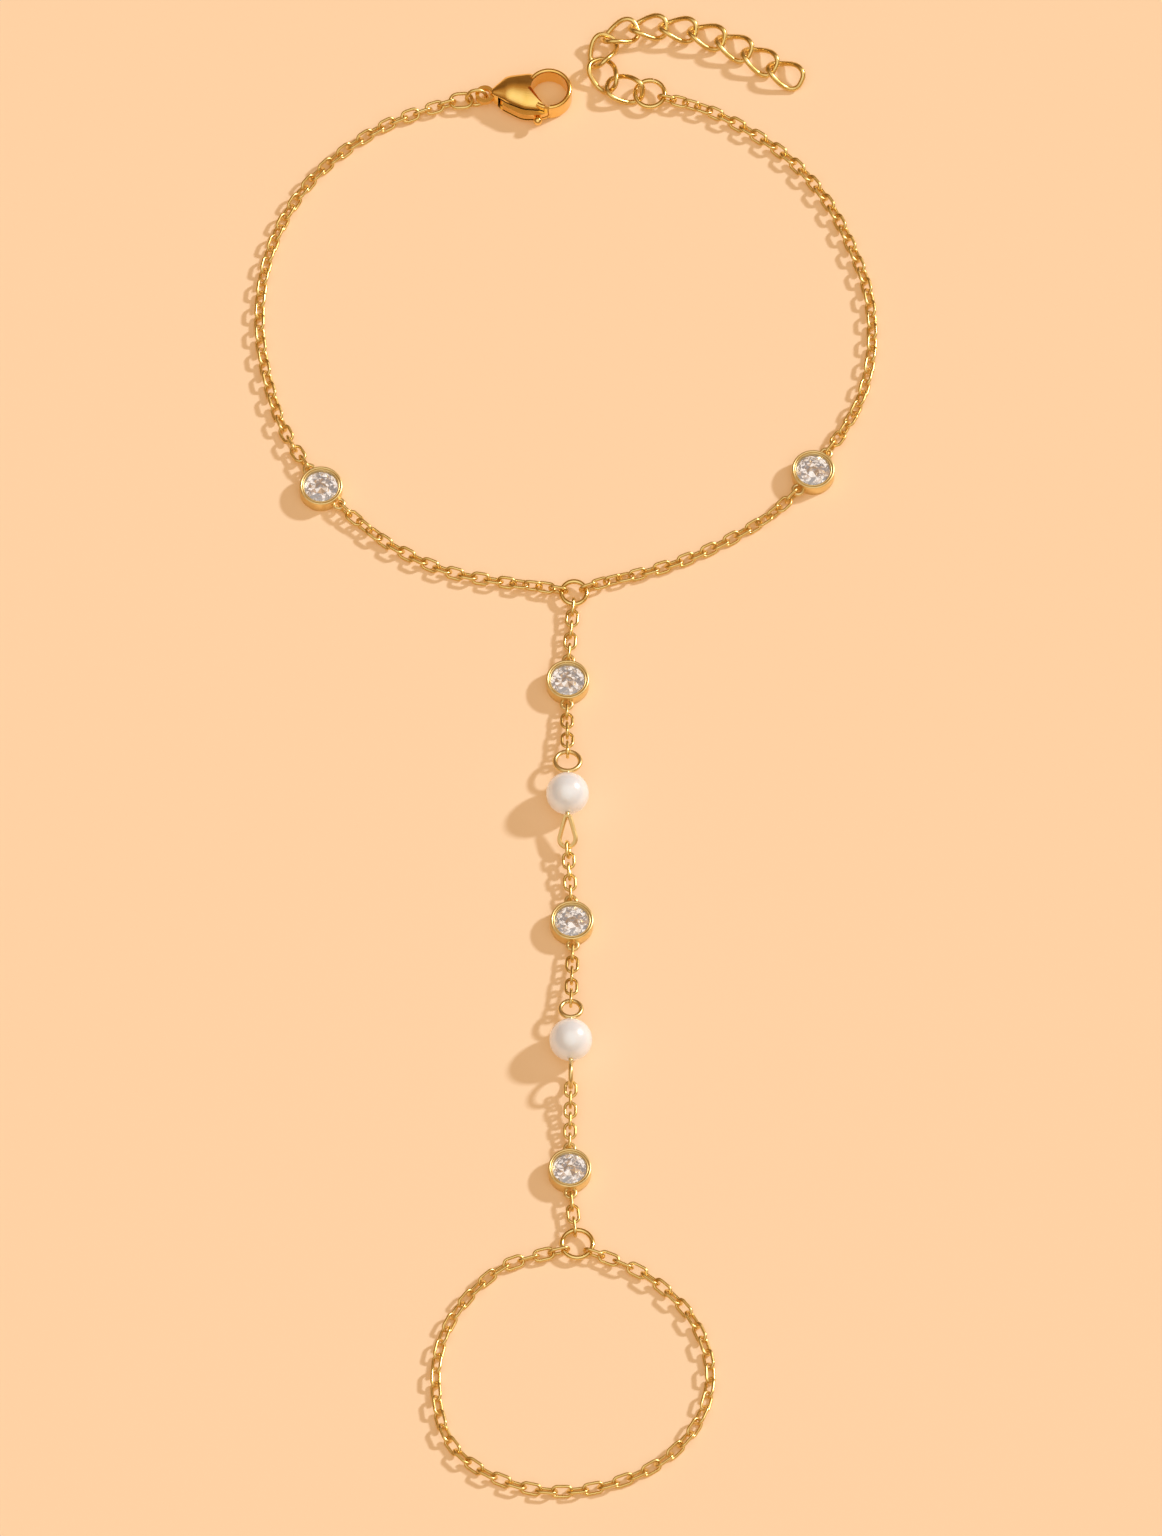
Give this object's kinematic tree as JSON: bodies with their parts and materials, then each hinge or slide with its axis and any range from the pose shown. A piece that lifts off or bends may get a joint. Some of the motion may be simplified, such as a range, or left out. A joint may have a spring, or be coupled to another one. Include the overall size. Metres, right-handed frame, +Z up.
{
  "type": "hand chain bracelet",
  "caption": "Wrist chain with a lever clasp and an extender, joined along the back of the hand by set stones and pearls to a chain loop for a finger.",
  "frame": {"origin": "centre of the bounding box's foot, on the surface that the piece lies on", "axes": "+Y from the finger loop towards the clasp, +Z up from the surface, +X to the right as the piece is seen from its finger end"},
  "size_m": [0.0582, 0.1531, 0.004],
  "materials": {
    "chain_gold": "polished pale gold plating",
    "clasp_gold": "polished pale gold plating",
    "setting_gold": "polished pale gold plating",
    "clear_stone": "clear faceted stone",
    "white_pearl": "white pearl with a satin lustre"
  },
  "bodies": {
    "bracelet": {"wrist_chain_left": "chain_gold", "wrist_chain_front_left": "chain_gold", "wrist_chain_front_right": "chain_gold", "wrist_chain_right": "chain_gold", "hand_chain_1": "chain_gold", "hand_chain_2": "chain_gold", "hand_chain_3": "chain_gold", "hand_chain_4": "chain_gold", "hand_chain_5": "chain_gold", "hand_chain_6": "chain_gold", "finger_chain": "chain_gold", "extender_chain": "chain_gold", "centre_ring": "chain_gold", "finger_ring": "chain_gold", "extender_ring": "chain_gold", "clasp_ring": "chain_gold", "clasp_link": "chain_gold", "clasp_body": "clasp_gold", "clasp_rivet": "clasp_gold", "setting_1": "setting_gold", "setting_2": "setting_gold", "setting_3": "setting_gold", "setting_4": "setting_gold", "setting_5": "setting_gold", "pearl_pin_1": "setting_gold", "pearl_pin_2": "setting_gold", "stone_1": "clear_stone", "stone_2": "clear_stone", "stone_3": "clear_stone", "stone_4": "clear_stone", "stone_5": "clear_stone", "pearl_1": "white_pearl", "pearl_2": "white_pearl"},
    "lever": {"clasp_lever": "clasp_gold"}
  },
  "joints": [
    {"name": "lever_hinge", "type": "hinge", "parent": "bracelet", "child": "lever", "pos_m": [-0.0057, 0.06765, 0.0012], "axis": [0, 0, 1], "range_deg": [0, 25], "stiffness_Nm_per_rad": 0.002}
  ]
}
